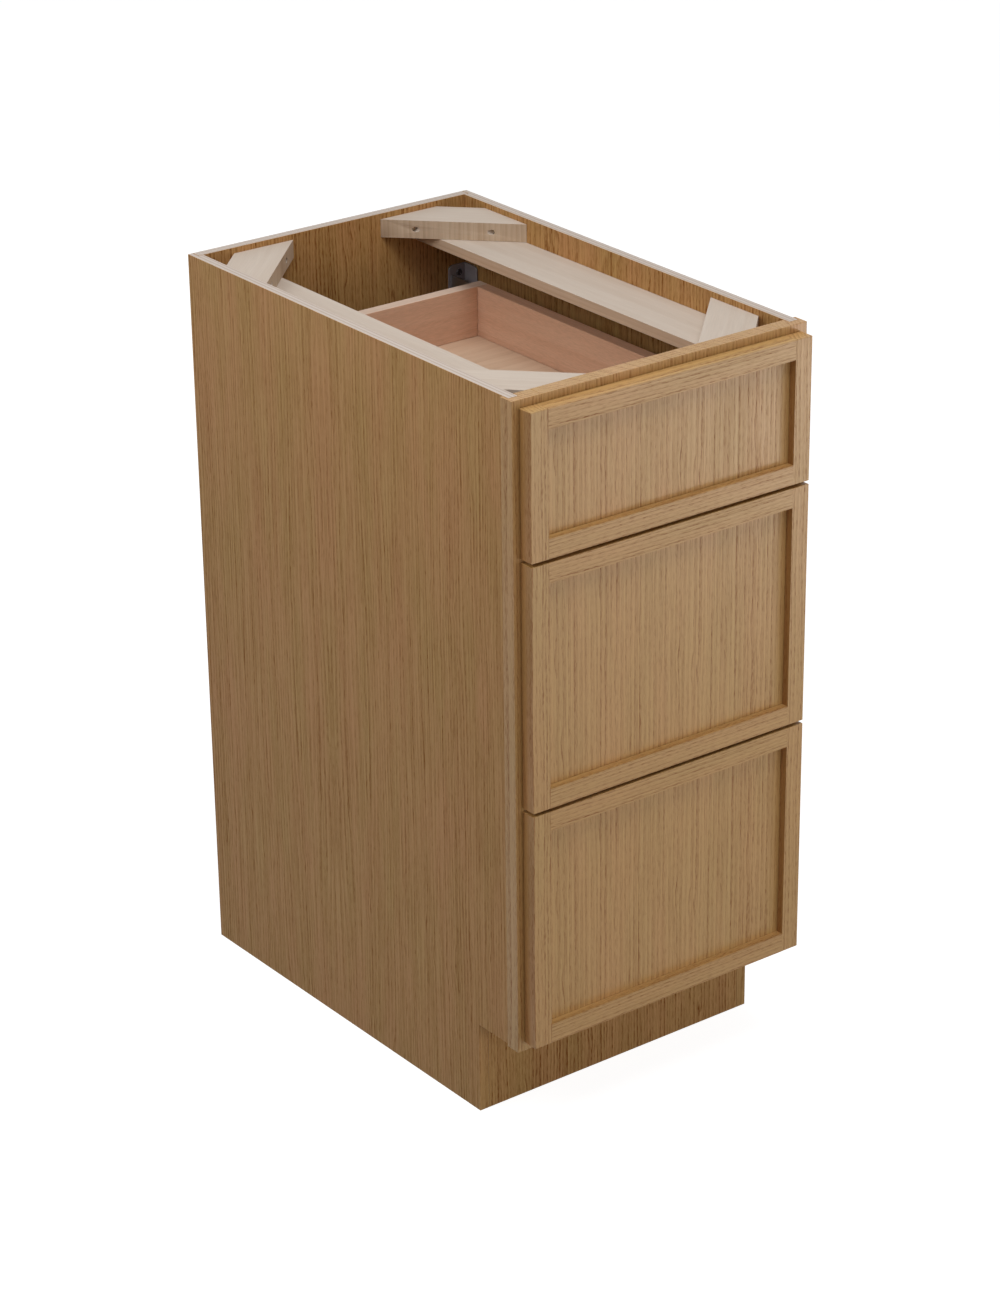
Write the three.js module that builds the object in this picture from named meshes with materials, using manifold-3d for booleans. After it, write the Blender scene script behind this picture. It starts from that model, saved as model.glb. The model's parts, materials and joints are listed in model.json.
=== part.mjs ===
// A kitchen base cabinet with three drawers: a plywood case behind a face frame, open at the top for a worktop.
// Millimetres, +Z up. The drawers face -Y. The origin is on the floor, in the middle of the cabinet's outline.

import * as THREE from 'three';
import { mergeVertices } from 'three/addons/utils/BufferGeometryUtils.js';
import Module from 'manifold-3d';

const wasm = await Module();
wasm.setup();

// ---- Driving dimensions ----

const JOINT_GAP = 0.25; // glue line between two pieces that are fixed to each other
const OVERSHOOT = 5; // how far a cutting shape reaches past the face that it cuts

// The case
const WIDTH = 400; // over the face frame
const DEPTH = 610; // from the front of the face frame to the back
const HEIGHT = 876.3;
const PLY = 12.7; // sides, back, bottom, toe board and stretchers
const DADO = 6.3; // how deep the back and the bottom sit in the sides
const TOE_HEIGHT = 112;
const TOE_RECESS = 77;

// The face frame
const FRAME_THICKNESS = 19.5;
const STILE_WIDTH = 38;
const RAIL_WIDTH = 38;
const FRAME_OVERHANG = 3.4; // past the outside of each side panel
const STILE_GROOVE = 9.5; // how deep the side panels sit in the stiles

// The stretchers along the sides, and the corner blocks on their ends
const STRETCHER_WIDTH = 72;
const BLOCK_DROP = 6.8; // from the top edge of the case to the top of a block
const BLOCK_THICKNESS = 22;
const BLOCK_LEG = 122; // along each wall, from the corner to the slanted face
const BLOCK_CUT = 41; // along each wall, from the corner to the inner edge
const BLOCK_HOLE_RADIUS = 3.2;
const BLOCK_HOLE_INSET = 42; // along the slanted face, from each end
const BLOCK_HOLE_END = 8; // wood left between a screw hole and the wall

// The drawer fronts: the widths of face frame left showing around them, and their own sizes
const SIDE_REVEAL = 9;
const TOP_REVEAL = 9;
const BOTTOM_REVEAL = 10.5;
const FRONT_GAP = 4.2; // between two drawer fronts
const TOP_FRONT_HEIGHT = 166.6; // the two lower fronts share the rest
const FRONT_STANDOFF = 0.5; // bumper gap between a closed front and the face frame
const FRONT_BORDER = 23; // width of a front's stiles and rails
const FRONT_RECESS = 9.5; // from the front's face to its panel
const PANEL_EDGE = 6.4; // thickness of the panel where it sits in the groove
const GROOVE_LIP = 3.1; // from the panel's edge to the back of the frame
const FRONT_GROOVE = 9; // how deep the groove is
const PANEL_PLAY = 0.8; // room for the loose panel, edgeways, in its groove

// The drawer boxes
const BOX_WALL = 15.9;
const BOX_REAR_SPACE = 75.8; // between a closed box and the back panel
const BOX_LIFT = 4.4; // from the rail below to the box
const BOX_HEADROOM = 42.3; // from the box to the rail above
const BOX_FLOOR = 6;
const FLOOR_LIFT = 7; // from the lower edge of the box to its floor
const FLOOR_GROOVE = 6.5; // how deep the floor sits in the walls
const TAIL_PITCH = 39; // wanted spacing of the dovetails
const TAIL_GAP = 18; // between two tails, at their roots
const TAIL_SLOPE = 0.125;

// The drawer slides: three steel members nested in one another, with a ball cage between each two
const SLIDE_HEIGHT = 45;
const SLIDE_THICKNESS = 12.7;
const SLIDE_SETBACK = 3; // behind the front of the face frame
const SLIDE_SHORTER = 10.5; // at the rear end of the box
const SLIDE_LIFT = 41; // from the lower edge of the box to the middle of the slide
const STEEL = 1.2;
const CABINET_FLANGE = 9.6; // how far the cabinet member reaches from the face frame's edge
const CAGE_HEIGHT = 3.8;
const CAGE_SETBACK = 8; // at each end of the middle member
const RUNNING_GAP = 0.3;
const WEB_GAP = 1.2; // beside the webs and cages

// The rear bracket of each slide, in the corner of the back and the side
const BRACKET_HEIGHT = 60;
const BRACKET_FLANGE = 25.8;
const BRACKET_STEEL = 2;
const TONGUE_HEIGHT = 36;
const TONGUE_LAP = 45; // how far the tongue runs along the slide
const WELD = 0.4; // how deep the tongue is let into the slide
const BRACKET_HOLE_RADIUS = 2.8;
const BRACKET_HOLE_INSET = 10.5; // from the bracket's edges

// ---- Worked out from them ----

const CASE_HALF = WIDTH / 2 - FRAME_OVERHANG; // outside of a side panel
const INNER_HALF = CASE_HALF - PLY; // inside of a side panel
const BACK_INSIDE = DEPTH - PLY;
const OPENING_HALF = WIDTH / 2 - STILE_WIDTH;
const CASE_FLOOR = TOE_HEIGHT + RAIL_WIDTH; // top of the bottom panel
const BLOCK_TOP = HEIGHT - BLOCK_DROP;
const STRETCHER_TOP = BLOCK_TOP - BLOCK_THICKNESS;

const FRONT_HALF = WIDTH / 2 - SIDE_REVEAL;
const FRONT_BACK = -FRONT_STANDOFF;
const PANEL_BACK = FRONT_BACK - GROOVE_LIP;
const PANEL_FACE = PANEL_BACK - PANEL_EDGE;
const FRONT_FACE = PANEL_FACE - FRONT_RECESS;
const FRONTS_BOTTOM = TOE_HEIGHT + BOTTOM_REVEAL;
const FRONTS_TOP = HEIGHT - TOP_REVEAL;
const LOWER_FRONT_HEIGHT = (FRONTS_TOP - FRONTS_BOTTOM - TOP_FRONT_HEIGHT - 2 * FRONT_GAP) / 2;

const BOX_HALF = OPENING_HALF - SLIDE_THICKNESS;
const BOX_START = FRONT_BACK + JOINT_GAP;
const BOX_END = BACK_INSIDE - BOX_REAR_SPACE;
const SLIDE_END = BOX_END - SLIDE_SHORTER;

// The lower edges of the rails. Each middle rail sits behind the gap between two fronts.
const BOTTOM_RAIL = TOE_HEIGHT;
const LOWER_RAIL = FRONTS_BOTTOM + LOWER_FRONT_HEIGHT + (FRONT_GAP - RAIL_WIDTH) / 2;
const UPPER_RAIL = LOWER_RAIL + LOWER_FRONT_HEIGHT + FRONT_GAP;
const TOP_RAIL = HEIGHT - RAIL_WIDTH;

// Each drawer, by the lower edge and the height of its front and by the rails below and above its box.
const DRAWERS = [
  { name: 'bottom', front: FRONTS_BOTTOM, height: LOWER_FRONT_HEIGHT, below: BOTTOM_RAIL, above: LOWER_RAIL },
  {
    name: 'middle',
    front: FRONTS_BOTTOM + LOWER_FRONT_HEIGHT + FRONT_GAP,
    height: LOWER_FRONT_HEIGHT,
    below: LOWER_RAIL,
    above: UPPER_RAIL,
  },
  { name: 'top', front: FRONTS_TOP - TOP_FRONT_HEIGHT, height: TOP_FRONT_HEIGHT, below: UPPER_RAIL, above: TOP_RAIL },
];

const SIDES = [
  { side: 'left', sign: -1 },
  { side: 'right', sign: 1 },
];

// ---- Materials ----

const surface = (color, roughness, metalness = 0) => new THREE.MeshStandardMaterial({ color, roughness, metalness });

const oak = surface(0xae8f70, 0.55);
const oakPly = surface(0x9a7a58, 0.6);
const rawPly = surface(0xc8baac, 0.75);
const boxWood = surface(0xa0785c, 0.5);
const slideSteel = surface(0x9a9da1, 0.35, 0.9);

// ---- Shapes ----

// A closed geometry as a solid that can be joined and cut.
function toSolid(geometry) {
  const bare = geometry.clone();
  bare.deleteAttribute('normal');
  bare.deleteAttribute('uv');
  const merged = mergeVertices(bare, 1e-4);
  return new wasm.Manifold(new wasm.Mesh({
    numProp: 3,
    vertProperties: new Float32Array(merged.attributes.position.array),
    triVerts: new Uint32Array(merged.index.array),
  }));
}

function toGeometry(solid) {
  const mesh = solid.getMesh();
  const indexed = new THREE.BufferGeometry();
  indexed.setAttribute('position', new THREE.BufferAttribute(mesh.vertProperties, mesh.numProp));
  indexed.setIndex(new THREE.BufferAttribute(mesh.triVerts, 1));
  const geometry = indexed.toNonIndexed();
  geometry.computeVertexNormals();
  return geometry;
}

function cut(geometry, ...tools) {
  return toGeometry(tools.reduce((solid, tool) => solid.subtract(toSolid(tool)), toSolid(geometry)));
}

function join(geometry, ...others) {
  return toGeometry(others.reduce((solid, other) => solid.add(toSolid(other)), toSolid(geometry)));
}

// A rectangular board between two values on each axis, given in either order.
function board(...spans) {
  const size = spans.map(([a, b]) => Math.abs(b - a));
  const middle = spans.map(([a, b]) => (a + b) / 2);
  return new THREE.BoxGeometry(...size).translate(...middle);
}

// An outline extruded between two values on an axis: (y, z) points for x, (x, z) for y and (x, y) for z.
function prism(outline, axis, [a, b]) {
  const shape = new THREE.Shape(outline.map(([u, v]) => new THREE.Vector2(u, v)));
  const geometry = new THREE.ExtrudeGeometry(shape, { depth: Math.abs(b - a), bevelEnabled: false });
  if (axis === 'z') return geometry.translate(0, 0, Math.min(a, b));
  if (axis === 'y') return geometry.translate(0, 0, -Math.max(a, b)).rotateX(Math.PI / 2);
  return geometry.translate(0, 0, Math.min(a, b)).rotateX(Math.PI / 2).rotateZ(Math.PI / 2);
}

// A screw hole's round shape between two values on the x or the y axis; at is its (y, z) or (x, z) place.
function rod(radius, axis, [a, b], at) {
  const geometry = new THREE.CylinderGeometry(radius, radius, Math.abs(b - a), 16);
  if (axis === 'x') return geometry.rotateZ(Math.PI / 2).translate((a + b) / 2, ...at);
  return geometry.translate(at[0], (a + b) / 2, at[1]);
}

function piece(parent, name, material, geometry) {
  const mesh = new THREE.Mesh(geometry, material);
  mesh.name = name;
  parent.add(mesh);
}

// ---- The case ----

function sidePanel(sign) {
  const front = FRAME_THICKNESS - STILE_GROOVE + JOINT_GAP;
  const outline = [
    [front, TOE_HEIGHT],
    [TOE_RECESS, TOE_HEIGHT],
    [TOE_RECESS, 0],
    [DEPTH, 0],
    [DEPTH, HEIGHT],
    [front, HEIGHT],
  ];
  const grooved = [sign * (INNER_HALF - OVERSHOOT), sign * (INNER_HALF + DADO)];
  const forBack = board(
    grooved,
    [BACK_INSIDE - JOINT_GAP, DEPTH + OVERSHOOT],
    [-OVERSHOOT, HEIGHT + OVERSHOOT],
  );
  const forBottom = board(
    grooved,
    [front - OVERSHOOT, BACK_INSIDE],
    [CASE_FLOOR - PLY - JOINT_GAP, CASE_FLOOR + JOINT_GAP],
  );
  return cut(prism(outline, 'x', [sign * CASE_HALF, sign * INNER_HALF]), forBack, forBottom);
}

function stile(sign) {
  const body = board([sign * OPENING_HALF, sign * WIDTH / 2], [0, FRAME_THICKNESS], [TOE_HEIGHT, HEIGHT]);
  const groove = board(
    [sign * (INNER_HALF - JOINT_GAP), sign * (CASE_HALF + JOINT_GAP)],
    [FRAME_THICKNESS - STILE_GROOVE, FRAME_THICKNESS + OVERSHOOT],
    [TOE_HEIGHT - OVERSHOOT, HEIGHT + OVERSHOOT],
  );
  return cut(body, groove);
}

function rail(bottom) {
  const half = OPENING_HALF - JOINT_GAP;
  return board([-half, half], [0, FRAME_THICKNESS], [bottom, bottom + RAIL_WIDTH]);
}

function stretcher(sign) {
  return board(
    [sign * (INNER_HALF - JOINT_GAP), sign * (INNER_HALF - STRETCHER_WIDTH)],
    [FRAME_THICKNESS + JOINT_GAP, BACK_INSIDE - JOINT_GAP],
    [STRETCHER_TOP - PLY, STRETCHER_TOP],
  );
}

// A strip mitred across the corner between a side, at x = side, and the wall at y = wall. The signs say
// which way the inside lies. Its two screw holes run from the slanted face straight towards the walls.
function cornerBlock(side, inwardX, wall, inwardY) {
  const x = (distance) => side + inwardX * (distance + JOINT_GAP);
  const y = (distance) => wall + inwardY * (distance + JOINT_GAP);
  const outline = [
    [x(BLOCK_CUT), y(0)],
    [x(BLOCK_LEG), y(0)],
    [x(0), y(BLOCK_LEG)],
    [x(0), y(BLOCK_CUT)],
  ];
  const bottom = STRETCHER_TOP + JOINT_GAP;
  const middle = (bottom + BLOCK_TOP) / 2;
  const along = BLOCK_LEG - BLOCK_HOLE_INSET * Math.SQRT1_2;
  return cut(
    prism(outline, 'z', [bottom, BLOCK_TOP]),
    rod(BLOCK_HOLE_RADIUS, 'y', [y(BLOCK_HOLE_END), y(BLOCK_LEG)], [x(along), middle]),
    rod(BLOCK_HOLE_RADIUS, 'x', [x(BLOCK_HOLE_END), x(BLOCK_LEG)], [y(along), middle]),
  );
}

function buildCase() {
  const group = new THREE.Group();
  for (const { side, sign } of SIDES) {
    const inside = sign * INNER_HALF;
    piece(group, `side_panel_${side}`, oakPly, sidePanel(sign));
    piece(group, `stile_${side}`, oak, stile(sign));
    piece(group, `stretcher_${side}`, rawPly, stretcher(sign));
    piece(group, `corner_block_front_${side}`, rawPly, cornerBlock(inside, -sign, FRAME_THICKNESS, 1));
    piece(group, `corner_block_rear_${side}`, rawPly, cornerBlock(inside, -sign, BACK_INSIDE, -1));
  }
  const groovedHalf = INNER_HALF + DADO - JOINT_GAP;
  piece(group, 'back_panel', oakPly, board([-groovedHalf, groovedHalf], [BACK_INSIDE, DEPTH], [0, HEIGHT]));
  piece(group, 'bottom_panel', oakPly, board(
    [-groovedHalf, groovedHalf],
    [FRAME_THICKNESS + JOINT_GAP, BACK_INSIDE - JOINT_GAP],
    [CASE_FLOOR - PLY, CASE_FLOOR],
  ));
  const toeHalf = INNER_HALF - JOINT_GAP;
  piece(group, 'toe_kick_board', oakPly, board(
    [-toeHalf, toeHalf],
    [TOE_RECESS, TOE_RECESS + PLY],
    [0, CASE_FLOOR - PLY - JOINT_GAP],
  ));
  piece(group, 'bottom_rail', oak, rail(BOTTOM_RAIL));
  piece(group, 'lower_middle_rail', oak, rail(LOWER_RAIL));
  piece(group, 'upper_middle_rail', oak, rail(UPPER_RAIL));
  piece(group, 'top_rail', oak, rail(TOP_RAIL));
  return group;
}

// ---- A drawer front: a frame round a loose, recessed panel that is flush with it at the back ----

function frontFrame(height) {
  const half = FRONT_HALF - FRONT_BORDER;
  return cut(
    board([-FRONT_HALF, FRONT_HALF], [FRONT_FACE, FRONT_BACK], [0, height]),
    board(
      [-half, half],
      [FRONT_FACE - OVERSHOOT, FRONT_BACK + OVERSHOOT],
      [FRONT_BORDER, height - FRONT_BORDER],
    ),
    board(
      [-half - FRONT_GROOVE, half + FRONT_GROOVE],
      [PANEL_FACE - JOINT_GAP, PANEL_BACK + JOINT_GAP],
      [FRONT_BORDER - FRONT_GROOVE, height - FRONT_BORDER + FRONT_GROOVE],
    ),
  );
}

function frontPanel(height) {
  const slab = (reach, depth) => board(
    [FRONT_BORDER - FRONT_HALF - reach, FRONT_HALF - FRONT_BORDER + reach],
    depth,
    [FRONT_BORDER - reach, height - FRONT_BORDER + reach],
  );
  return join(
    slab(FRONT_GROOVE - PANEL_PLAY, [PANEL_FACE, PANEL_BACK]),
    slab(-PANEL_PLAY, [PANEL_FACE, FRONT_BACK]),
  );
}

// ---- A drawer box, dovetailed at its four corners ----

// The tails on one end of a box side, as (y, z) points that run upwards, each tail grown by a gap.
function tails(height, root, end, gap) {
  const count = Math.max(1, Math.round(height / TAIL_PITCH));
  const pitch = height / count;
  const rootHalf = (pitch - TAIL_GAP) / 2 + gap;
  const endHalf = rootHalf + Math.abs(end - root) * TAIL_SLOPE;
  return Array.from({ length: count }, (_, index) => {
    const middle = (index + 0.5) * pitch;
    return [
      [root, middle - rootHalf],
      [end, middle - endHalf],
      [end, middle + endHalf],
      [root, middle + rootHalf],
    ];
  });
}

// The space of the box's floor, grown by a gap.
function floorBoard(gap) {
  const half = BOX_HALF - BOX_WALL + FLOOR_GROOVE + gap;
  const inset = BOX_WALL - FLOOR_GROOVE - gap;
  return board(
    [-half, half],
    [BOX_START + inset, BOX_END - inset],
    [FLOOR_LIFT - gap, FLOOR_LIFT + BOX_FLOOR + gap],
  );
}

function boxSide(sign, height) {
  const frontRoot = BOX_START + BOX_WALL + JOINT_GAP;
  const rearRoot = BOX_END - BOX_WALL - JOINT_GAP;
  const outline = [
    [rearRoot, 0],
    ...tails(height, rearRoot, BOX_END, 0).flat(),
    [rearRoot, height],
    [frontRoot, height],
    ...tails(height, frontRoot, BOX_START, 0).flat().reverse(),
    [frontRoot, 0],
  ];
  const span = [sign * (BOX_HALF - BOX_WALL), sign * BOX_HALF];
  return cut(prism(outline, 'x', span), floorBoard(JOINT_GAP));
}

// The front or the rear wall, between its outer and its inner face.
function boxEnd(height, outer, inner) {
  const outwards = Math.sign(outer - inner);
  const root = inner - outwards * JOINT_GAP;
  const sockets = SIDES.flatMap(({ sign }) => {
    const span = [sign * (BOX_HALF - BOX_WALL - JOINT_GAP), sign * (BOX_HALF + OVERSHOOT)];
    const outlines = tails(height, root, outer + outwards * OVERSHOOT, JOINT_GAP);
    return outlines.map((outline) => prism(outline, 'x', span));
  });
  return cut(board([-BOX_HALF, BOX_HALF], [outer, inner], [0, height]), floorBoard(JOINT_GAP), ...sockets);
}

function buildBox(drawer, height) {
  const group = new THREE.Group();
  const name = (part) => `${drawer}_box_${part}`;
  for (const { side, sign } of SIDES) piece(group, name(side), boxWood, boxSide(sign, height));
  piece(group, name('front'), boxWood, boxEnd(height, BOX_START, BOX_START + BOX_WALL));
  piece(group, name('rear'), boxWood, boxEnd(height, BOX_END, BOX_END - BOX_WALL));
  piece(group, name('floor'), boxWood, floorBoard(0));
  return group;
}

// ---- The drawer slides ----

// Depths run from the edge of the face frame's opening to the box, and heights from the middle of the slide.
const CABINET_WEB = JOINT_GAP;
const MIDDLE_WEB = CABINET_WEB + STEEL + WEB_GAP;
const DRAWER_FLANGE = MIDDLE_WEB + STEEL + WEB_GAP;
const DRAWER_WEB = SLIDE_THICKNESS - JOINT_GAP - STEEL;
const CABINET_INSIDE = SLIDE_HEIGHT / 2 - STEEL;
const MIDDLE_OUTSIDE = CABINET_INSIDE - RUNNING_GAP - CAGE_HEIGHT;
const MIDDLE_INSIDE = MIDDLE_OUTSIDE - STEEL;
const DRAWER_OUTSIDE = MIDDLE_INSIDE - CAGE_HEIGHT - RUNNING_GAP;

// The upper halves of the three sections, as (depth, height) points. Each lower half mirrors them.
const CABINET_SECTION = [
  [CABINET_WEB, SLIDE_HEIGHT / 2],
  [CABINET_FLANGE, SLIDE_HEIGHT / 2],
  [CABINET_FLANGE, MIDDLE_OUTSIDE + RUNNING_GAP],
  [CABINET_FLANGE - STEEL, MIDDLE_OUTSIDE + RUNNING_GAP],
  [CABINET_FLANGE - STEEL, CABINET_INSIDE],
  [CABINET_WEB + STEEL, CABINET_INSIDE],
];
const MIDDLE_SECTION = [
  [MIDDLE_WEB, MIDDLE_OUTSIDE + CAGE_HEIGHT],
  [CABINET_FLANGE - STEEL - WEB_GAP, MIDDLE_OUTSIDE + CAGE_HEIGHT],
  [CABINET_FLANGE - STEEL - WEB_GAP, MIDDLE_OUTSIDE],
  [DRAWER_WEB, MIDDLE_OUTSIDE],
  [DRAWER_WEB, MIDDLE_INSIDE],
  [DRAWER_WEB - WEB_GAP, MIDDLE_INSIDE],
  [DRAWER_WEB - WEB_GAP, MIDDLE_INSIDE - CAGE_HEIGHT],
  [DRAWER_FLANGE, MIDDLE_INSIDE - CAGE_HEIGHT],
  [DRAWER_FLANGE, MIDDLE_INSIDE],
  [MIDDLE_WEB + STEEL, MIDDLE_INSIDE],
];
const DRAWER_SECTION = [
  [DRAWER_WEB + STEEL, DRAWER_OUTSIDE],
  [DRAWER_FLANGE, DRAWER_OUTSIDE],
  [DRAWER_FLANGE, DRAWER_OUTSIDE - STEEL],
  [DRAWER_WEB, DRAWER_OUTSIDE - STEEL],
];

function slideMember(sign, section, span) {
  const mirrored = section.map(([depth, height]) => [depth, -height]).reverse();
  const outline = [...section, ...mirrored].map(([depth, height]) => [sign * (OPENING_HALF - depth), height]);
  return prism(outline, 'y', span);
}

// The cabinet member with its rear bracket, which it is welded to.
function cabinetMember(sign) {
  const side = INNER_HALF - JOINT_GAP;
  const back = BACK_INSIDE - JOINT_GAP;
  const web = OPENING_HALF - CABINET_WEB;
  const half = BRACKET_HEIGHT / 2;
  const tongue = board(
    [sign * (web - WELD), sign * (web + BRACKET_STEEL)],
    [SLIDE_END - TONGUE_LAP, back],
    [-TONGUE_HEIGHT / 2, TONGUE_HEIGHT / 2],
  );
  const onBack = board([sign * (side - BRACKET_FLANGE), sign * side], [back - BRACKET_STEEL, back], [-half, half]);
  const onSide = board([sign * (side - BRACKET_STEEL), sign * side], [back - BRACKET_FLANGE, back], [-half, half]);
  const holes = [-1, 1].map((end) => rod(
    BRACKET_HOLE_RADIUS,
    'y',
    [back - OVERSHOOT, back + OVERSHOOT],
    [sign * (side - BRACKET_HOLE_INSET), end * (half - BRACKET_HOLE_INSET)],
  ));
  return cut(join(slideMember(sign, CABINET_SECTION, [SLIDE_SETBACK, SLIDE_END]), tongue, onBack, onSide), ...holes);
}

function buildSlides(drawer) {
  const group = new THREE.Group();
  for (const { side, sign } of SIDES) {
    const name = (part) => `${drawer}_slide_${side}_${part}`;
    piece(group, name('cabinet_member'), slideSteel, cabinetMember(sign));
    piece(group, name('middle_member'), slideSteel, slideMember(
      sign,
      MIDDLE_SECTION,
      [SLIDE_SETBACK + CAGE_SETBACK, SLIDE_END - CAGE_SETBACK],
    ));
    piece(group, name('drawer_member'), slideSteel, slideMember(sign, DRAWER_SECTION, [SLIDE_SETBACK, SLIDE_END]));
  }
  return group;
}

// ---- The cabinet ----

function buildDrawer({ name, front, height, below, above }) {
  const group = new THREE.Group();
  group.position.z = front;
  piece(group, `${name}_front_frame`, oak, frontFrame(height));
  piece(group, `${name}_front_panel`, oak, frontPanel(height));

  const boxBottom = below + RAIL_WIDTH + BOX_LIFT;
  const box = buildBox(name, above - BOX_HEADROOM - boxBottom);
  const slides = buildSlides(name);
  box.position.z = boxBottom - front;
  slides.position.z = SLIDE_LIFT;
  box.add(slides);
  group.add(box);
  return group;
}

const cabinet = new THREE.Group();
cabinet.position.y = -(FRONT_FACE + DEPTH) / 2;
cabinet.add(buildCase(), ...DRAWERS.map(buildDrawer));

export default cabinet;
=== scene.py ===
"""The looks of a kitchen base cabinet with three drawers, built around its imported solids. Metres, +Z up."""

import json
import math
import random

import bmesh
import bpy
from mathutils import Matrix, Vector


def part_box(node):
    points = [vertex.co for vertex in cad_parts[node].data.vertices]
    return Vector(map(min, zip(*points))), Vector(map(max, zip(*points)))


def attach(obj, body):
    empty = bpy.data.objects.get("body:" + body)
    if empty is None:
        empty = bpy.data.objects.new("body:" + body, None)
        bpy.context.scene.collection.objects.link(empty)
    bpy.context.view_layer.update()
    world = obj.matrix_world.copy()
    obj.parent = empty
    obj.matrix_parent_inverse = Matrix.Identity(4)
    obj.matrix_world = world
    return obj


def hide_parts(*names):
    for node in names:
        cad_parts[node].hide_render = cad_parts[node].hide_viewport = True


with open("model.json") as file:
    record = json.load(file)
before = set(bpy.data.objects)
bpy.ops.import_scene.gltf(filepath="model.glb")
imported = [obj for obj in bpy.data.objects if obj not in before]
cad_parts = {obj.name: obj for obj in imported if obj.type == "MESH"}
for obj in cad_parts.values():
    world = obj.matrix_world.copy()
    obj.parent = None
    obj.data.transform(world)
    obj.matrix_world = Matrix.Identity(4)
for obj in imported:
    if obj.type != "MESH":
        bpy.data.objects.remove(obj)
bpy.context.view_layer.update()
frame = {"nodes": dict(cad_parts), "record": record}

MM = 0.001
DRAWERS = ("top", "middle", "bottom")
SIDES = (("left", -1), ("right", 1))
BODY_OF = {node: body for body, nodes in frame["record"]["behaviour"]["bodies"].items() for node in nodes}

# ---- The camera, which stands in front of the cabinet, to its left and above it ----

CAMERA_PLACE = (-2.3501, -3.1396, 2.1994)
CAMERA_PITCH = 64.633  # degrees, where 90 looks straight ahead
CAMERA_HEADING = -38.485
CAMERA_LENS = 103.15  # for a 36 mm sensor along the picture's height
CAMERA_SHIFT = (-0.0748, 0.06)


def add_camera():
    data = bpy.data.cameras.new("camera")
    data.sensor_width = 36
    data.lens = CAMERA_LENS
    data.shift_x, data.shift_y = CAMERA_SHIFT
    data.clip_end = 100
    camera = bpy.data.objects.new("camera", data)
    camera.location = CAMERA_PLACE
    camera.rotation_euler = (math.radians(CAMERA_PITCH), 0, math.radians(CAMERA_HEADING))
    bpy.context.scene.collection.objects.link(camera)
    bpy.context.scene.camera = camera


# ---- Material nodes ----


def rgb(red, green, blue):
    """A colour given from 0 to 255, as it looks on a screen, as the linear values that a shader takes."""
    def linear(value):
        value /= 255
        return value / 12.92 if value <= 0.04045 else ((value + 0.055) / 1.055) ** 2.4
    return (linear(red), linear(green), linear(blue), 1)


class Nodes:
    """A material's or the world's node tree. Each method adds a node and gives its output socket."""

    def __init__(self, owner):
        owner.use_nodes = True
        self.tree = owner.node_tree
        self.tree.nodes.clear()

    def add(self, kind, **settings):
        node = self.tree.nodes.new("ShaderNode" + kind)
        for name, value in settings.items():
            setattr(node, name, value)
        return node

    def put(self, socket, value):
        if isinstance(value, bpy.types.NodeSocket):
            self.tree.links.new(value, socket)
        else:
            socket.default_value = value

    def math(self, operation, *values, clamp=False):
        node = self.add("Math", operation=operation, use_clamp=clamp)
        for socket, value in zip(node.inputs, values):
            self.put(socket, value)
        return node.outputs[0]

    def vector(self, operation, *values):
        node = self.add("VectorMath", operation=operation)
        for socket, value in zip(node.inputs, values):
            self.put(socket, value)
        return node.outputs["Vector"]

    def split(self, vector):
        node = self.add("SeparateXYZ")
        self.put(node.inputs[0], vector)
        return node.outputs

    def combine(self, x, y, z):
        node = self.add("CombineXYZ")
        for socket, value in zip(node.inputs, (x, y, z)):
            self.put(socket, value)
        return node.outputs[0]

    def noise(self, vector, detail=2, roughness=0.5):
        node = self.add("TexNoise")
        self.put(node.inputs["Vector"], vector)
        node.inputs["Scale"].default_value = 1
        node.inputs["Detail"].default_value = detail
        node.inputs["Roughness"].default_value = roughness
        return node.outputs[0]

    def random(self, value):
        node = self.add("TexWhiteNoise", noise_dimensions="1D")
        self.put(node.inputs["W"], value)
        return node.outputs["Value"]

    def remap(self, value, low, high, new_low=0.0, new_high=1.0, smooth=False):
        node = self.add("MapRange", interpolation_type="SMOOTHSTEP" if smooth else "LINEAR")
        for socket, given in zip(node.inputs, (value, low, high, new_low, new_high)):
            self.put(socket, given)
        return node.outputs[0]

    def mix(self, factor, first, second):
        node = self.add("Mix", data_type="RGBA")
        self.put(node.inputs[0], factor)
        self.put(node.inputs[6], first)
        self.put(node.inputs[7], second)
        return node.outputs[2]

    def shade(self, color, amount):
        """The colour times an amount that is 1 where it stays as it is."""
        if not isinstance(color, bpy.types.NodeSocket):
            color = color[:3]
        return self.vector("MULTIPLY", color, self.combine(amount, amount, amount))

    def bump(self, height, depth):
        node = self.add("Bump")
        node.inputs["Strength"].default_value = 1
        node.inputs["Distance"].default_value = depth
        self.put(node.inputs["Height"], height)
        return node.outputs[0]

    def surface(self, **inputs):
        """A Principled shader on the material's output. An underscore in a name stands for a space."""
        shader = self.add("BsdfPrincipled")
        for name, value in inputs.items():
            self.put(shader.inputs[name.replace("_", " ")], value)
        output = self.add("OutputMaterial")
        self.tree.links.new(shader.outputs[0], output.inputs[0])


# ---- Wood. Each wooden piece carries the attribute "wood": a point's place across the grain, through the
# board and along the grain, in millimetres, measured from the heart of the tree that it was sawn from. ----


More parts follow.
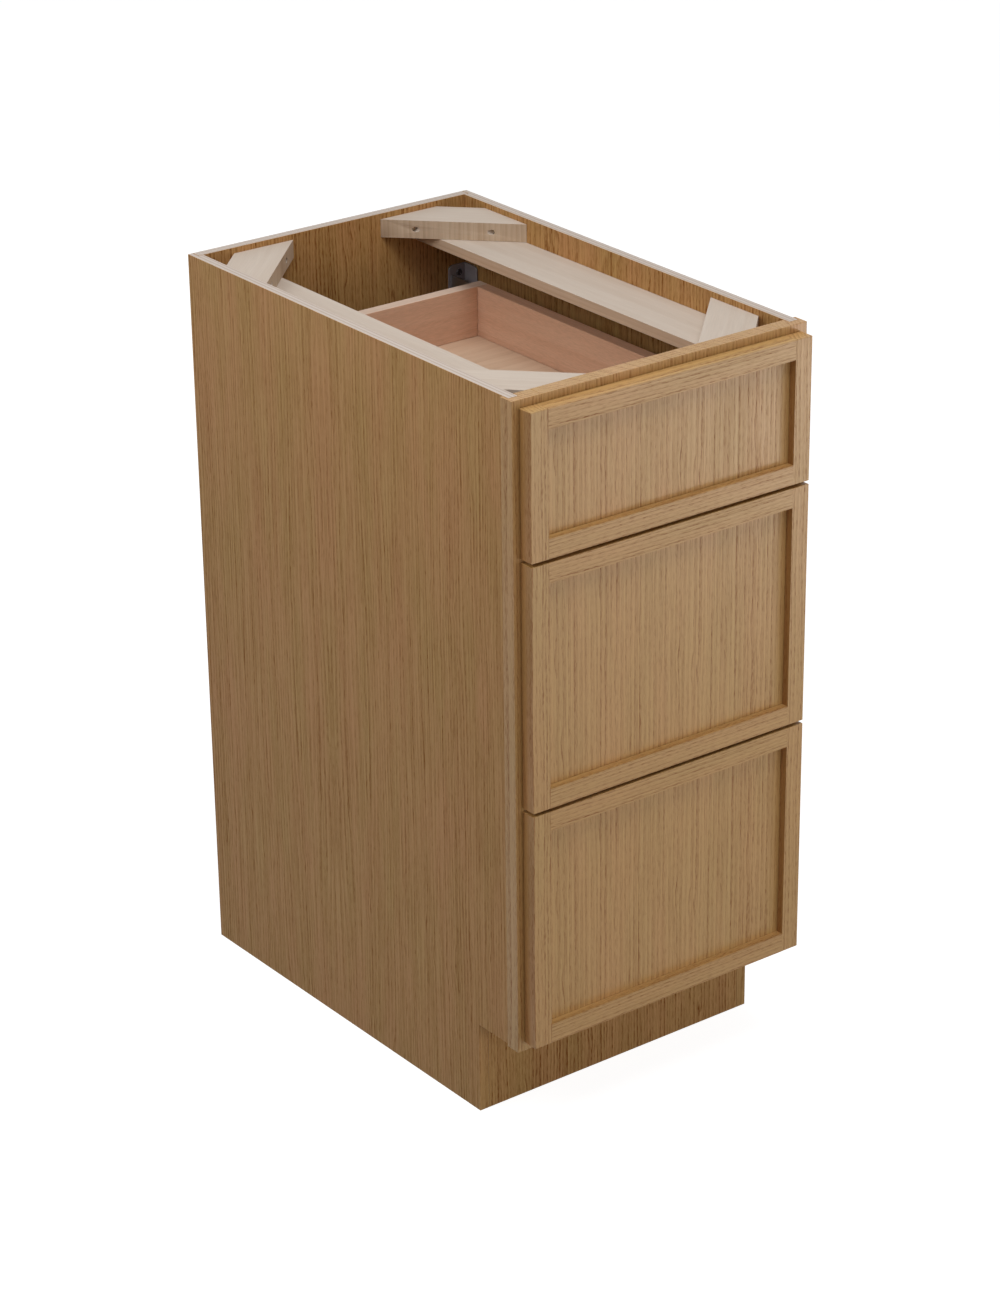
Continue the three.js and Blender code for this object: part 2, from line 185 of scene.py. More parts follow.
class Wood(Nodes):
    """The growth rings, pores and fibres that the wooden materials share."""

    def __init__(self, material, ring, wander, flames=0.0, mirrored=None, upright=False):
        """ring is the rings' width and wander how far they stray from circles, in mm. flames is how far they
        swell into pointed arches. mirrored is how far from the heart two mirrored leaves have their seam."""
        super().__init__(material)
        self.place = self.add("Attribute", attribute_name="wood").outputs["Vector"]
        if mirrored is not None:
            across, through, along = self.split(self.place)
            from_seam = self.math("ABSOLUTE", across)
            self.place = self.combine(self.math("ADD", from_seam, mirrored), through, along)
        if upright:
            across, through, along = self.split(self.place)
            self.place = self.combine(along, across, through)
        across, through, _ = self.split(self.place)
        drift = self.centred(self.stretched(80, 500), wander)
        drift = self.math("ADD", drift, self.centred(self.stretched(14, 110, 3.3), wander * 0.12))
        drift = self.math("ADD", drift, self.centred(self.stretched(5, 22, 8.1), wander * 0.03))
        radius = self.math("SQRT", self.math("ADD",
            self.math("POWER", self.math("ADD", across, drift), 2),
            self.math("POWER", self.math("ADD", through, drift), 2),
        ))
        if flames:
            swelling = self.noise(self.stretched(24, 75, 13.7), 1)
            swelling = self.remap(swelling, 0.58, 0.8, 0, ring * flames, smooth=True)
            radius = self.math("ADD", radius, swelling)
        uneven = self.centred(self.combine(self.math("MULTIPLY", radius, 0.35 / ring), 0.5, 0.5), ring * 1.6)
        self.rings = self.math("DIVIDE", self.math("ADD", radius, uneven), ring)

    def stretched(self, width, length, offset=0.0):
        """The place in spans of a width across the grain and a length along it."""
        scaled = self.vector("MULTIPLY", self.place, (1 / width, 1 / width, 1 / length))
        return self.vector("ADD", scaled, (offset, offset, offset)) if offset else scaled

    def centred(self, vector, amount, detail=2):
        """Noise that swings to each side of 0 by about half the amount."""
        return self.math("MULTIPLY", self.math("SUBTRACT", self.noise(vector, detail), 0.5), amount)

    def lines(self, sharpness):
        """The dark porous wood at the start of each ring, from 1 down to 0, with some rings fainter."""
        start = self.math("SUBTRACT", 1, self.math("FRACT", self.rings))
        line = self.math("POWER", start, sharpness)
        rise = self.remap(start, 1, 0.85, 0, 1, smooth=True)
        strength = self.remap(self.random(self.math("FLOOR", self.rings)), 0, 1, 0.3, 1)
        return self.math("MULTIPLY", self.math("MULTIPLY", line, rise), strength)

    def pores(self, width, length, share):
        """Short dark vessels along the grain."""
        return self.remap(self.noise(self.stretched(width, length), 1), share, share + 0.16, smooth=True)


# Each kind of oak has two hues that drift into each other.
SOLID_OAK = (rgb(192, 147, 91), rgb(190, 151, 92))
SHADED_EDGE_OAK = (rgb(184, 135, 83), rgb(182, 139, 84))  # painted shade: a darker copy of the frame oak, on a front's faces that look left or right, such as its outer edges
LIT_LEDGE_OAK = (rgb(202, 158, 100), rgb(200, 162, 101))  # painted light: a paler copy of the frame oak, on a front's upward faces
VENEER_OAK = (rgb(194, 145, 94), rgb(191, 151, 93))
OAK_DARK = rgb(126, 74, 20)
GRAIN_DEPTH = 0.06 * MM  # how deep the pores and fibres lie in the surface


def oak(name, hues, ring, wander, line, pore, fibre, roughness, flames=0.0, specular=0.5, mirrored=None):
    """Oak under a clear satin finish. line, pore and fibre are how strongly each marks it."""
    material = bpy.data.materials.new(name)
    wood = Wood(material, ring, wander, flames, mirrored)
    fading = wood.remap(wood.noise(wood.stretched(5, 45, 2.7)), 0.3, 0.7, 0.55, 1.15)
    early = wood.math("MULTIPLY", wood.lines(1.3), fading)
    pores = wood.math("MULTIPLY", wood.pores(0.8, 9, 0.48), wood.remap(early, 0, 0.5, 0.3, 1))
    fibres = wood.remap(wood.noise(wood.stretched(1.5, 90), 3, 0.6), 0.3, 0.7, -1, 1)
    streaks = wood.remap(wood.noise(wood.stretched(3.2, 240, 11.3), 3, 0.6), 0.3, 0.7, -1, 1)
    patches = wood.remap(wood.noise(wood.stretched(34, 190, 5.1)), 0.3, 0.7, 0, 1)
    dark = wood.math("ADD", wood.math("MULTIPLY", early, line), wood.math("MULTIPLY", pores, pore))
    finer = wood.math("MULTIPLY", wood.math("ADD", fibres, streaks), fibre)
    dark = wood.math("ADD", wood.math("ADD", dark, finer), wood.math("MULTIPLY", patches, 0.1), clamp=True)
    wood.surface(
        Base_Color=wood.mix(dark, wood.mix(patches, *hues), OAK_DARK),
        Roughness=wood.remap(dark, 0, 1, roughness - 0.05, roughness + 0.25),
        Specular_IOR_Level=specular,
        Normal=wood.bump(wood.math("MULTIPLY", dark, -1), GRAIN_DEPTH),
    )
    return material


def pale_wood(name, light, dark, ring, line, roughness, specular=0.3, fleck=(0.9, 30, 0.05), upright=False):
    """The plain, close-grained wood of raw plywood and of the drawer boxes. fleck is the width and length of
    its fine marks, and how far they lighten and darken it. Upright grain runs through the board."""
    material = bpy.data.materials.new(name)
    wood = Wood(material, ring, wander=14, upright=upright)
    early = wood.lines(1.4)
    width, length, contrast = fleck
    fibres = wood.noise(wood.stretched(width, length), 3, 0.6)
    streaks = wood.noise(wood.stretched(9, 160, 7.7), 3, 0.6)
    darkness = wood.math("ADD", wood.math("MULTIPLY", early, line), wood.remap(streaks, 0.3, 0.7, 0, line))
    color = wood.mix(darkness, light, dark)
    color = wood.shade(color, wood.remap(fibres, 0.3, 0.7, 1 - contrast, 1 + contrast))
    wood.surface(
        Base_Color=color,
        Roughness=wood.remap(fibres, 0.3, 0.7, roughness - 0.05, roughness + 0.05),
        Specular_IOR_Level=specular,
        Normal=wood.bump(fibres, GRAIN_DEPTH),
    )
    return material


PLY_LAYER = 2.54  # mm
PLY_EDGE_DEPTH = 0.1 * MM  # how rough a sawn edge is


def ply_edge(name, light, dark, roughness):
    """The edge of a plywood board, where every other layer shows its end grain."""
    material = bpy.data.materials.new(name)
    wood = Wood(material, ring=6, wander=10)
    through = wood.split(wood.add("Attribute", attribute_name="layers").outputs["Vector"])[0]
    depth = wood.math("DIVIDE", through, PLY_LAYER * 2)
    waver = wood.math("ADD", depth, wood.centred(wood.stretched(4, 40), 0.05))
    layer = wood.math("PINGPONG", wood.math("ADD", waver, 0.25), 0.5)
    crossed = wood.remap(layer, 0.3, 0.34, smooth=True)
    grain = wood.noise(wood.stretched(0.8, 14), 3, 0.6)
    speckle = wood.noise(wood.stretched(0.5, 0.8), 2, 0.6)
    texture = wood.mix(crossed, wood.combine(grain, 0.5, 0.5), wood.combine(speckle, 0.5, 0.5))
    texture = wood.split(texture)[0]
    color = wood.mix(wood.math("MULTIPLY", crossed, 0.6), light, dark)
    color = wood.shade(color, wood.remap(texture, 0.3, 0.7, 0.92, 1.06))
    height = wood.math("SUBTRACT", texture, wood.math("MULTIPLY", crossed, 0.5))
    wood.surface(
        Base_Color=color,
        Roughness=roughness,
        Specular_IOR_Level=0.25,
        Normal=wood.bump(height, PLY_EDGE_DEPTH),
    )
    return material


ROLLING_DEPTH = 0.02 * MM


def steel(name, color, roughness, metallic=1.0):
    """Sheet steel with faint rolling marks along y. One that is less metallic has a dull coat of zinc."""
    material = bpy.data.materials.new(name)
    nodes = Nodes(material)
    place = nodes.add("TexCoord").outputs["Object"]
    marks = nodes.noise(nodes.vector("MULTIPLY", place, (900, 25, 900)), 3, 0.6)
    clouds = nodes.noise(nodes.vector("MULTIPLY", place, (60, 60, 60)), 3, 0.6)
    cloudy = nodes.remap(clouds, 0.3, 0.7, -0.05, 0.05)
    tone = nodes.math("ADD", nodes.remap(marks, 0.3, 0.7, 0.94, 1.02), cloudy)
    nodes.surface(
        Base_Color=nodes.shade(color, tone),
        Metallic=metallic,
        Roughness=nodes.remap(clouds, 0.3, 0.7, roughness - 0.06, roughness + 0.08),
        Normal=nodes.bump(marks, ROLLING_DEPTH),
    )
    return material


FRAME_GRAIN = {"ring": 4.6, "wander": 16, "line": 0.6, "pore": 0.5, "fibre": 0.08, "roughness": 0.42}
OAK_FRAME = oak("oak", SOLID_OAK, **FRAME_GRAIN)
# Painted shade: the frame oak in a darker copy, for a front's faces that look left or right
OAK_EDGE_PAINTED_SHADE = oak("oak_edge_painted_shade", SHADED_EDGE_OAK, **FRAME_GRAIN)
# Painted light: the frame oak in a paler copy, for a front's upward faces
OAK_LEDGE_PAINTED_LIGHT = oak("oak_ledge_painted_light", LIT_LEDGE_OAK, **FRAME_GRAIN)
OAK_PANEL = oak(
    "oak_panel", SOLID_OAK, ring=6.3, wander=10, line=0.58, pore=0.4, fibre=0.15, roughness=0.42, flames=0.5
)
OAK_VENEER = oak(
    "oak_veneer", VENEER_OAK, ring=4.6, wander=14, line=0.52, pore=0.36, fibre=0.19, roughness=0.55,
    flames=0.7, specular=0.25, mirrored=75
)
OAK_INSIDE = oak(
    "oak_veneer_inside", VENEER_OAK, ring=4.7, wander=16, line=0.8, pore=0.6, fibre=0.16, roughness=0.6,
    flames=0.8, specular=0.2
)
RAW_FACE = pale_wood("raw_plywood", rgb(208, 194, 180), rgb(180, 156, 134), 9, 0.22, 0.7)
RAW_END = pale_wood("raw_wood_end", rgb(202, 180, 156), rgb(170, 142, 114), 6, 0.5, 0.7, upright=True)
RAW_SIDE = pale_wood("raw_wood_side", rgb(206, 180, 154), rgb(178, 146, 118), 6, 0.4, 0.7)
RAW_EDGE = ply_edge("raw_plywood_edge", rgb(208, 195, 185), rgb(180, 158, 138), 0.75)
BOX_WOOD = pale_wood(
    "drawer_box_wood", rgb(214, 175, 148), rgb(186, 133, 102), 7, 0.26, 0.45, specular=0.4,
    fleck=(0.9, 11, 0.11)
)
# Painted light: a paler copy of the box wood, for the top faces of the front and rear walls
BOX_TOP_PAINTED_LIGHT = pale_wood("drawer_box_edge", rgb(226, 202, 184), rgb(200, 168, 144), 7, 0.3, 0.5)
BOX_FLOOR = pale_wood("drawer_floor_plywood", rgb(216, 188, 162), rgb(186, 150, 118), 12, 0.3, 0.5)
ZINC = steel("zinc_steel", rgb(176, 178, 182), 0.38)
GALVANISED = steel("galvanised_steel", rgb(164, 156, 160), 0.65, 0.3)
SCREW_STEEL = steel("screw_steel", rgb(178, 156, 124), 0.45, 0.6)
DARK_STEEL = steel("dark_steel", rgb(84, 78, 80), 0.5, 0.5)

# ---- Pieces ----

AXES = {"x": Vector((1, 0, 0)), "y": Vector((0, 1, 0)), "z": Vector((0, 0, 1))}
SHARP = math.radians(25)  # between two faces, from which their edge is rounded
OAK_ROUND = 0.45 * MM
BOX_ROUND = 0.5 * MM
PLY_ROUND = 0.3 * MM
STEEL_ROUND = 0.2 * MM
TINY = 1e-5  # metres, within which two places are the same
SQUARE_ON = 0.9  # the least cosine between a direction and a face that looks that way
ROUGHLY = 0.7
SLANTED_UP = 0.5


def clean_mesh(node):
    """A CAD node's mesh with its triangles joined into flat faces."""
    mesh = bmesh.new()
    mesh.from_mesh(frame["nodes"][node].data)
    bmesh.ops.remove_doubles(mesh, verts=mesh.verts, dist=1e-6)
    bmesh.ops.dissolve_limit(mesh, angle_limit=math.radians(1), verts=mesh.verts, edges=mesh.edges)
    bmesh.ops.recalc_face_normals(mesh, faces=mesh.faces)
    return mesh


def round_edges(mesh, radius, segments=2, joints=()):
    """Rounds the sharp edges, apart from those at a glued joint. joints are its places on the x axis."""
    def is_glued(edge):
        return any(all(abs(end.co.x - place) < TINY for end in edge.verts) for place in joints)

    edges = [edge for edge in mesh.edges
             if edge.is_manifold and edge.calc_face_angle() > SHARP and not is_glued(edge)]
    bmesh.ops.bevel(
        mesh, geom=edges, offset=radius, segments=segments, profile=0.5, affect="EDGES", clamp_overlap=True
    )


def finish_piece(name, mesh, body, materials, replaced=()):
    """The mesh as an object that rides on its body."""
    data = bpy.data.meshes.new(name)
    mesh.to_mesh(data)
    mesh.free()
    for material in materials:
        data.materials.append(material)
    piece = bpy.data.objects.new(name, data)
    bpy.context.scene.collection.objects.link(piece)
    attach(piece, body)
    if replaced:
        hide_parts(*replaced)
    return piece


def middle_of(points):
    lows = [min(point[axis] for point in points) for axis in range(3)]
    highs = [max(point[axis] for point in points) for axis in range(3)]
    return (Vector(lows) + Vector(highs)) / 2


def set_grain(piece, along, through, heart, layers=False):
    """Writes the attribute "wood", and for plywood "layers", a point's place through the board in mm. heart
    is where the board's middle lies from the heart of the tree: across, through and along, in mm."""
    along, through = along.normalized(), through.normalized()
    across = along.cross(through)
    points = [vertex.co for vertex in piece.data.vertices]
    middle = middle_of(points)
    attribute = piece.data.attributes.new("wood", "FLOAT_VECTOR", "POINT")
    for point, value in zip(points, attribute.data):
        offset = (point - middle) / MM
        value.vector = Vector((offset.dot(across), offset.dot(through), offset.dot(along))) + Vector(heart)
    if layers:
        attribute = piece.data.attributes.new("layers", "FLOAT_VECTOR", "POINT")
        for point, value in zip(points, attribute.data):
            value.vector = ((point - middle).dot(through) / MM, 0, 0)


TRUNK = 4000  # mm, how far up or down the tree a board can come from


def heart_of(name, distance, spread):
    """A seeded place for the heart of the tree, in front of or behind the board."""
    draw = random.Random(name)
    return (draw.uniform(-spread, spread), distance * draw.choice((-1, 1)), draw.uniform(-TRUNK, TRUNK))


def quarter_sawn(name, distance):
    """A seeded place far to the side of the board, which gives straight lines over its whole face."""
    draw = random.Random(name)
    return (distance * draw.choice((-1, 1)), draw.uniform(0.2, 0.4) * distance, draw.uniform(-TRUNK, TRUNK))


def solid_board(node, along, through, material, heart, radius=OAK_ROUND, other=None, facing=None):
    """A board of solid wood in the place of a CAD node, with another material on the side that faces so."""
    mesh = clean_mesh(node)
    if other:
        for side in mesh.faces:
            side.material_index = 1 if side.normal.dot(facing) > SQUARE_ON else 0
    round_edges(mesh, radius)
    materials = [material, other] if other else [material]
    piece = finish_piece(f"{node}_wood", mesh, BODY_OF[node], materials, [node])
    set_grain(piece, along, through, heart)


def ply_board(node, along, through, heart, covered=None):
    """An oak plywood board in the place of a CAD node, with its outer veneer on the side that through points
    to. covered tells of a face on the board's edge whether it has that veneer too."""
    mesh = clean_mesh(node)
    for side in mesh.faces:
        facing = side.normal.dot(through)
        veneered = facing > ROUGHLY or covered and covered(side)
        side.material_index = 0 if veneered else 1 if facing < -ROUGHLY else 2
    round_edges(mesh, PLY_ROUND)
    materials = [OAK_VENEER, OAK_INSIDE, RAW_EDGE]
    piece = finish_piece(f"{node}_wood", mesh, BODY_OF[node], materials, [node])
    set_grain(piece, along, through, heart, layers=True)


# ---- The case ----

TOE_BOUNDS = (30 * MM, 120 * MM)  # behind the face frame, between which the toe notch's upright edge lies
SEAM = 40  # mm, from a side panel's middle to the seam between its mirrored veneer leaves, towards the back


def build_case():
    x, y, z = AXES["x"], AXES["y"], AXES["z"]
    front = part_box("stile_left")[0].y

    def in_notch(side):
        behind = side.calc_center_median().y - front
        return side.normal.dot(-y) > ROUGHLY and TOE_BOUNDS[0] < behind < TOE_BOUNDS[1]

    for side, sign in SIDES:
        ply_board(f"side_panel_{side}", z, x * sign, (-SEAM * sign, 130, 400 * sign), in_notch)
        solid_board(f"stile_{side}", z, y, OAK_FRAME, quarter_sawn(f"stile_{side}", 160))
        node = f"stretcher_{side}"
        heart = heart_of(node, 80, 30)
        solid_board(node, y, z, RAW_FACE, heart, other=RAW_SIDE, facing=x * -sign)
        for end, way in (("front", 1), ("rear", -1)):
            node = f"corner_block_{end}_{side}"
            along = Vector((sign * way, 1, 0))
            slanted = Vector((-sign, way, 0)).normalized()
            heart = heart_of(node, 80, 30)
            solid_board(node, along, z, RAW_FACE, heart, other=RAW_END, facing=slanted)
    ply_board("back_panel", z, y, quarter_sawn("back", 320))
    ply_board("bottom_panel", y, z, quarter_sawn("bottom", 320))
    ply_board("toe_kick_board", z, y, quarter_sawn("toe", 320))
    for rail in ("upper_middle_rail", "lower_middle_rail", "bottom_rail"):
        solid_board(rail, x, y, OAK_FRAME, heart_of(rail, 45, 14))
    solid_board("top_rail", z, y, OAK_FRAME, quarter_sawn("top_rail", 320))


# ---- The drawer fronts ----

FRONT_BORDER = 23 * MM  # the width of a front's stiles and rails
GLUE_LINE = 0.04 * MM
BEYOND = 1  # metres, past the end of any front


def keep_between(mesh, axis, low, high):
    """Cuts a closed mesh down to what lies between two places on an axis, and closes it there."""
    normal = AXES[axis]
    for place, outwards in ((low, -1), (high, 1)):
        everything = list(mesh.verts) + list(mesh.edges) + list(mesh.faces)
        cut = bmesh.ops.bisect_plane(
            mesh, geom=everything, plane_co=normal * place, plane_no=normal * outwards,
            clear_outer=True, dist=1e-7
        )
        edges = [item for item in cut["geom_cut"] if isinstance(item, bmesh.types.BMEdge)]
        if edges:
            bmesh.ops.triangle_fill(mesh, edges=edges, use_beauty=True, use_dissolve=True)
    bmesh.ops.recalc_face_normals(mesh, faces=mesh.faces)


def build_front(drawer):
    x, y, z = AXES["x"], AXES["y"], AXES["z"]
    node = f"{drawer}_front_frame"
    low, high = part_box(node)
    inner = (low.x + FRONT_BORDER, high.x - FRONT_BORDER)
    middle = (low.z + high.z) / 2
    parts = {
        "stile_left": ("x", low.x - BEYOND, inner[0] - GLUE_LINE, z),
        "stile_right": ("x", inner[1] + GLUE_LINE, high.x + BEYOND, z),
        "rail_upper": ("z", middle, high.z + BEYOND, x),
        "rail_lower": ("z", low.z - BEYOND, middle, x),
    }
    # Besides the plain frame oak: a darker copy that paints shade on faces that look left or right, and a paler
    # copy that paints light on upward faces
    materials = [OAK_FRAME, OAK_EDGE_PAINTED_SHADE, OAK_LEDGE_PAINTED_LIGHT]
    for name, (axis, start, end, along) in parts.items():
        mesh = clean_mesh(node)
        joints = (inner[0] - GLUE_LINE, inner[1] + GLUE_LINE)
        if "rail" in name:
            joints = (inner[0] + GLUE_LINE, inner[1] - GLUE_LINE)
            keep_between(mesh, "x", *joints)
        keep_between(mesh, axis, start, end)
        for side in mesh.faces:
            normal = side.normal
            # Index 1 is the darker copy with painted shade, index 2 the paler copy with painted light
            side.material_index = 1 if abs(normal.x) > SQUARE_ON else 2 if normal.z > SLANTED_UP else 0
        round_edges(mesh, OAK_ROUND, joints=joints)
        piece = finish_piece(f"{drawer}_front_{name}", mesh, BODY_OF[node], materials)
        set_grain(piece, along, y, quarter_sawn(f"front_{name}", 150))
    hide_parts(node)
    solid_board(f"{drawer}_front_panel", z, y, OAK_PANEL, quarter_sawn("panel", 330))


# ---- The drawer boxes and slides ----


def build_box(drawer):
    x, y, z = AXES["x"], AXES["y"], AXES["z"]
    # The front and rear walls' top faces take the paler copy of the box wood, painted light; the side walls' tops
    # stay plain
    for part, along, through, top in (
        ("left", y, x, None), ("right", y, x, None), ("front", x, y, BOX_TOP_PAINTED_LIGHT), ("rear", x, y, BOX_TOP_PAINTED_LIGHT)
    ):
        node = f"{drawer}_box_{part}"
        heart = heart_of(node, 90, 40)
        solid_board(node, along, through, BOX_WOOD, heart, BOX_ROUND, top, z)
    node = f"{drawer}_box_floor"
    solid_board(node, x, z, BOX_FLOOR, heart_of(node, 120, 60), PLY_ROUND)


STEEL = 1.2 * MM  # the thickness of the slides' members
BRACKET_STEEL = 2 * MM
BRACKET_FLANGE = 25.8 * MM  # the width of a bracket's two halves, along the back and along the side
BRACKET_INSET = 10.5 * MM  # from a bracket's edges to its screws
BRACKET_ROUND = 6 * MM  # of its free corners, which lie at least FREE_FROM away from the walls' corner
FREE_FROM = 20 * MM
NEAR = 0.1 * MM


def round_bracket(mesh):
    """Rounds the free corners of a slide's rear bracket, and gives it the second material."""
    points = [vertex.co for vertex in mesh.verts]
    back = max(point.y for point in points)
    ends = (max(point.z for point in points), min(point.z for point in points))
    wall = max((point.x for point in points), key=abs)
    for side in mesh.faces:
        if side.calc_center_median().y > back - BRACKET_FLANGE - NEAR:
            side.material_index = 1

    def is_corner(edge):
        first, second = (vertex.co for vertex in edge.verts)
        if not all(min(abs(point.z - end) for end in ends) < NEAR for point in (first, second)):
            return False
        if abs(first.z - second.z) > TINY or edge.calc_length() > 1.25 * BRACKET_STEEL:
            return False
        return all(abs(point.x - wall) > FREE_FROM or back - point.y > FREE_FROM for point in (first, second))

    corners = [edge for edge in mesh.edges if is_corner(edge)]
    bmesh.ops.bevel(mesh, geom=corners, offset=BRACKET_ROUND, segments=6, profile=0.5, affect="EDGES")


# Half of a screw head's outline, as shares of its radius and height, from the floor of its socket outwards
SCREW_OUTLINE = ((0, 0.35), (0.3, 0.4), (0.42, 0.95), (0.6, 0.9), (0.85, 0.62), (1, 0.25), (1, -0.3))
SCREW_SIDES = 20
BRACKET_SCREW = (4.2 * MM, 1.8 * MM)  # the radius and height of its head
SLIDE_SCREW = (3.4 * MM, 0.9 * MM)
FRONT_SCREW = (4.5 * MM, 1.9 * MM)
BLOCK_SCREW = (3.25 * MM, 1.5 * MM)


def add_screw(name, body, place, outwards, size, material=SCREW_STEEL):
    """A pan-head screw's head with its socket. place is where its axis meets the face it sits on."""
    radius, height = size
    side = outwards.orthogonal().normalized()
    other = outwards.cross(side)
    mesh = bmesh.new()
    rings = []
    for share, rise in SCREW_OUTLINE[1:]:
        rings.append([mesh.verts.new(
            place + outwards * (rise * height)
            + (side * math.cos(turn) + other * math.sin(turn)) * (share * radius)
        ) for turn in (2 * math.pi * step / SCREW_SIDES for step in range(SCREW_SIDES))])
    middle = mesh.verts.new(place + outwards * (SCREW_OUTLINE[0][1] * height))
    for step in range(SCREW_SIDES):
        after = (step + 1) % SCREW_SIDES
        mesh.faces.new((middle, rings[0][step], rings[0][after]))
        for inner, outer in zip(rings, rings[1:]):
            mesh.faces.new((inner[step], outer[step], outer[after], inner[after]))
    mesh.faces.new(rings[-1][::-1])
    bmesh.ops.recalc_face_normals(mesh, faces=mesh.faces)
    for face in mesh.faces:
        face.smooth = True
    finish_piece(name, mesh, body, [material])


SLIDE_SCREWS = (35 * MM, 165 * MM, 350 * MM)  # behind the front end of the drawer's member
FRONT_SCREW_SPREAD = 85 * MM  # from the middle of the drawer
LOW_BOX = 100 * MM  # a drawer box lower than this has one row of screws in its front
ONE_ROW, TWO_ROWS = (0.65,), (0.25, 0.8)  # of the box's height
# From the walls' corner to a block's screws, 42 mm along its slanted face, which starts 122 mm from the corner
BLOCK_SCREW_INSET = (122 - 42 * math.sqrt(0.5)) * MM
BLOCK_SCREW_DEPTH = 23 * MM  # from a wall to the heads of the screws that go into it


def build_slides(drawer):
    y = AXES["y"]
    for side, sign in SIDES:
        x = AXES["x"] * sign
        slide = f"{drawer}_slide_{side}"
        for member in ("cabinet_member", "middle_member", "drawer_member"):
            node = f"{slide}_{member}"
            mesh = clean_mesh(node)
            if member == "cabinet_member":
                round_bracket(mesh)
            round_edges(mesh, STEEL_ROUND, segments=1)
            finish_piece(f"{node}_steel", mesh, BODY_OF[node], [ZINC, GALVANISED], [node])
        low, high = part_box(f"{drawer}_slide_{side}_cabinet_member")
        wall = low.x if sign < 0 else high.x
        for end, height in (("lower", low.z + BRACKET_INSET), ("upper", high.z - BRACKET_INSET)):
            place = Vector((wall - sign * BRACKET_INSET, high.y - BRACKET_STEEL, height))
            add_screw(f"{slide}_bracket_screw_{end}", "case", place, -y, BRACKET_SCREW, DARK_STEEL)
        low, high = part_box(f"{drawer}_slide_{side}_drawer_member")
        web = (high.x if sign < 0 else low.x) + sign * STEEL
        for count, depth in enumerate(SLIDE_SCREWS):
            place = Vector((web, low.y + depth, (low.z + high.z) / 2))
            add_screw(f"{slide}_screw_{count}", f"{drawer}_drawer", place, x, SLIDE_SCREW)


def build_screws():
    """The screws that hold the drawer fronts to their boxes, and those in the corner blocks' holes."""
    x, y = AXES["x"], AXES["y"]
    for drawer in DRAWERS:
        low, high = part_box(f"{drawer}_box_front")
        shares = ONE_ROW if high.z - low.z < LOW_BOX else TWO_ROWS
        for row, share in enumerate(shares):
            for side, sign in SIDES:
                place = Vector((sign * FRONT_SCREW_SPREAD, high.y, low.z + (high.z - low.z) * share))
                add_screw(f"{drawer}_front_screw_{side}_{row}", f"{drawer}_drawer", place, y, FRONT_SCREW)
    inset, depth = BLOCK_SCREW_INSET, BLOCK_SCREW_DEPTH
    for side, sign in SIDES:
        for end, way in (("front", 1), ("rear", -1)):
            block = f"corner_block_{end}_{side}"
            low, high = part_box(f"corner_block_{end}_{side}")
            corner = Vector((max(low.x, high.x, key=abs), low.y if way > 0 else high.y, (low.z + high.z) / 2))
            for aim, offset, outwards in (
                ("wall", Vector((-sign * inset, way * depth, 0)), y * way),
                ("side", Vector((-sign * depth, way * inset, 0)), x * -sign),
            ):
                add_screw(f"{block}_screw_to_{aim}", "case", corner + offset, outwards, BLOCK_SCREW)


# ---- The floor and the light ----

WHITE = (1, 1, 1, 1)
WORLD_STRENGTH = 0.23
FLOOR_GREY = (0.35, 0.35, 0.35, 1)  # for the light that the floor throws back, and the object's shadow on it
FLOOR_WHITE = 0.92  # what the camera and reflections see in addition to that
FLOOR_REACH = 20  # metres, to each side


def seen_directly(nodes):
    """1 for a camera ray or a reflected or refracted one, and 0 for the light that falls on the object."""
    path = nodes.add("LightPath")
    seen = nodes.math("MAXIMUM", path.outputs["Is Camera Ray"], path.outputs["Is Glossy Ray"])
    return nodes.math("MAXIMUM", seen, path.outputs["Is Transmission Ray"])


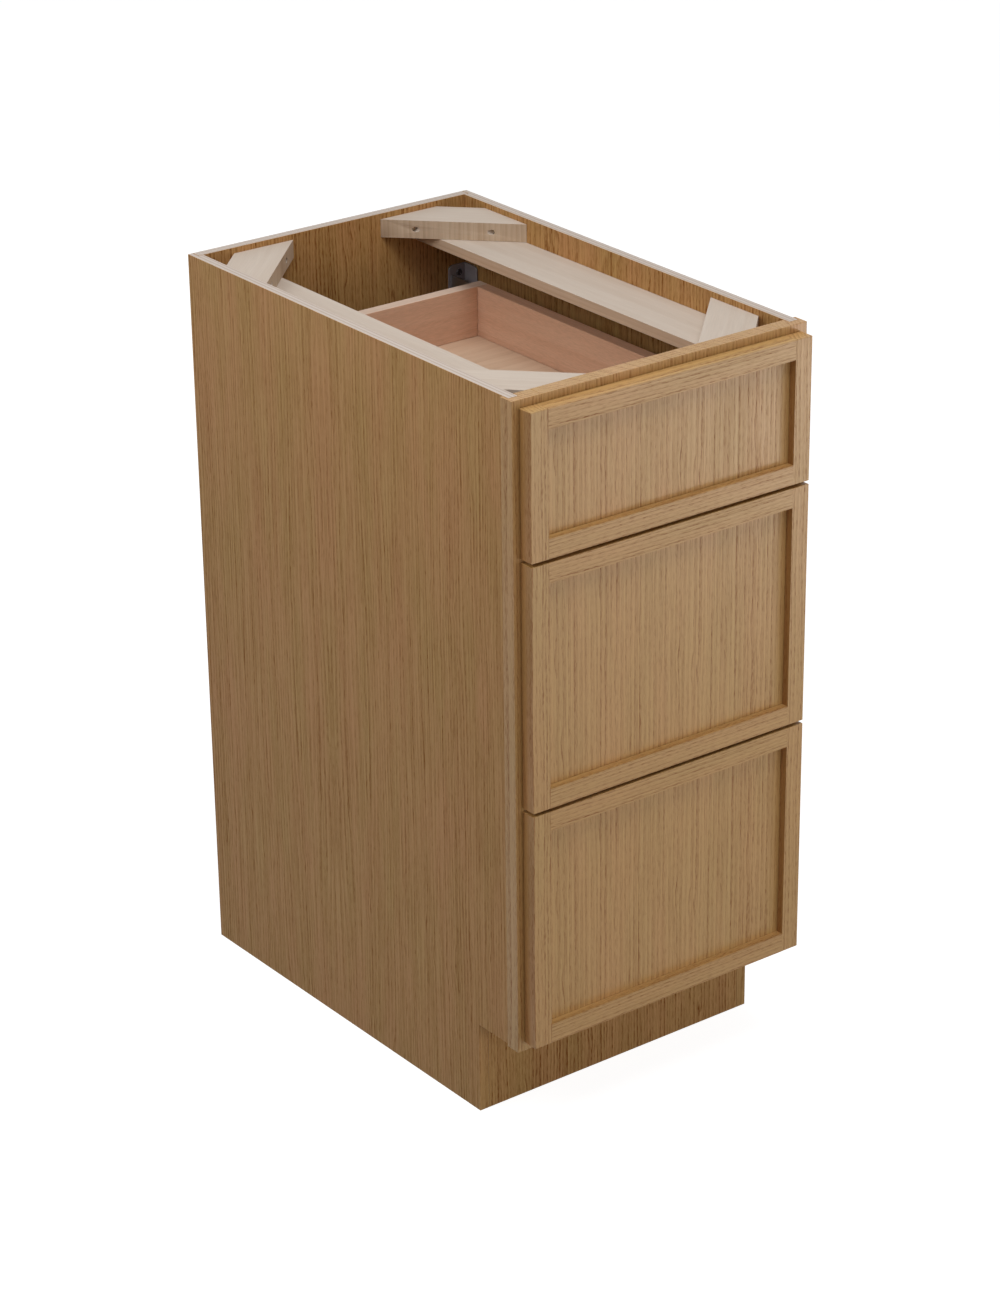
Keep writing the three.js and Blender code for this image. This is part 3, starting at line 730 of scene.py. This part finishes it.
def add_floor():
    material = bpy.data.materials.new("floor")
    nodes = Nodes(material)
    diffuse = nodes.add("BsdfDiffuse")
    diffuse.inputs["Color"].default_value = FLOOR_GREY
    glow = nodes.add("Emission")
    nodes.put(glow.inputs["Strength"], nodes.math("MULTIPLY", seen_directly(nodes), FLOOR_WHITE))
    both = nodes.add("AddShader")
    nodes.put(both.inputs[0], diffuse.outputs[0])
    nodes.put(both.inputs[1], glow.outputs[0])
    output = nodes.add("OutputMaterial")
    nodes.put(output.inputs[0], both.outputs[0])
    mesh = bmesh.new()
    bmesh.ops.create_grid(mesh, x_segments=1, y_segments=1, size=FLOOR_REACH)
    data = bpy.data.meshes.new("floor")
    mesh.to_mesh(data)
    mesh.free()
    data.materials.append(material)
    floor = bpy.data.objects.new("floor", data)
    bpy.context.scene.collection.objects.link(floor)


def add_world():
    world = bpy.data.worlds.new("world")
    bpy.context.scene.world = world
    nodes = Nodes(world)
    background = nodes.add("Background")
    background.inputs["Color"].default_value = WHITE
    nodes.put(background.inputs["Strength"], nodes.remap(seen_directly(nodes), 0, 1, WORLD_STRENGTH, 1))
    output = nodes.add("OutputWorld")
    nodes.put(output.inputs[0], background.outputs[0])


def add_lamp(name, place, aim, size, radiance):
    """A rectangular lamp that faces aim. Its width and height, which are its size, and radiance set its power."""
    data = bpy.data.lights.new(name, "AREA")
    data.shape = "RECTANGLE"
    data.size, data.size_y = size
    data.energy = radiance * math.pi * size[0] * size[1]
    lamp = bpy.data.objects.new(name, data)
    lamp.location = place
    lamp.rotation_euler = (Vector(aim) - Vector(place)).to_track_quat("-Z", "Y").to_euler()
    lamp.visible_camera = False
    bpy.context.scene.collection.objects.link(lamp)


def add_lights():
    add_world()
    add_lamp("overhead", (0, 0, 3.2), (0, 0, 0), (2, 2), 0.96)
    add_lamp("overhead_front", (-0.2, -1.1, 2.9), (0, -0.2, 0.5), (1.2, 0.8), 6.2)
    add_lamp("left", (-1.3, 0.1, 1.7), (-0.2, 0, 0.7), (0.8, 0.8), 3.75)
    add_lamp("front", (0.6, -2.6, 0.4), (0, -0.3, 0.4), (1.6, 0.8), 3.25)
    add_lamp("front_right", (1.8, -2.5, 1.7), (0, -0.3, 0.5), (0.5, 0.5), 0.98)
    add_lamp("floor_glow", (1.8, -1.55, 0.03), (1.8, -1.55, 2), (0.8, 0.8), 13.6)
    add_lamp("back", (0.6, 2.8, 1.2), (0, 0.3, 0.5), (1.6, 1.6), 1.8)


add_camera()
add_floor()
add_lights()
build_case()
for drawer in DRAWERS:
    build_front(drawer)
    build_box(drawer)
    build_slides(drawer)
build_screws()

bpy.context.scene.view_settings.view_transform = "Standard"
